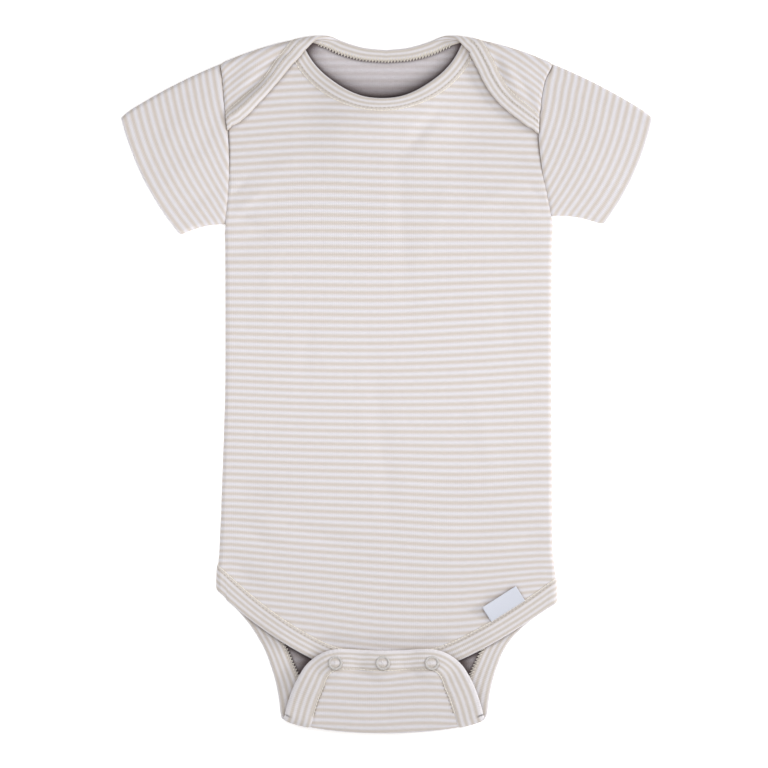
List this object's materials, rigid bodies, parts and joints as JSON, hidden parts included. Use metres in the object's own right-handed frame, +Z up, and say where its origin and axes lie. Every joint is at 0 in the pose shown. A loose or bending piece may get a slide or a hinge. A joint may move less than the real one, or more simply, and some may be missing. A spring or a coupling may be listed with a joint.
{
  "type": "baby bodysuit",
  "caption": "Short-sleeved striped baby bodysuit with lap shoulders, bound neck and leg openings and a snap crotch, laid flat.",
  "frame": {"origin": "centre of the bounding box in plan, on the surface that the garment lies on", "axes": "+Y from crotch to neck, +Z up from the surface, +X to the viewer's right when the front is seen from above"},
  "size_m": [0.3187, 0.418, 0.0095],
  "materials": {
    "striped_jersey": "matt cotton jersey with fine stripes in beige and white",
    "striped_rib": "matt folded binding of the same striped cotton",
    "snap_resin": "glossy white snap",
    "label_satin": "smooth woven label, blank"
  },
  "bodies": {
    "root": {"back_panel": "striped_jersey", "front_panel": "striped_jersey", "sleeve_left": "striped_jersey", "sleeve_right": "striped_jersey", "front_neck_binding": "striped_rib", "back_neck_binding": "striped_rib", "front_leg_band": "striped_rib", "back_leg_band": "striped_rib", "side_label": "label_satin", "snap_cap_1": "snap_resin", "snap_cap_2": "snap_resin", "snap_cap_3": "snap_resin", "snap_stud_1": "snap_resin", "snap_stud_2": "snap_resin", "snap_stud_3": "snap_resin"}
  },
  "joints": []
}
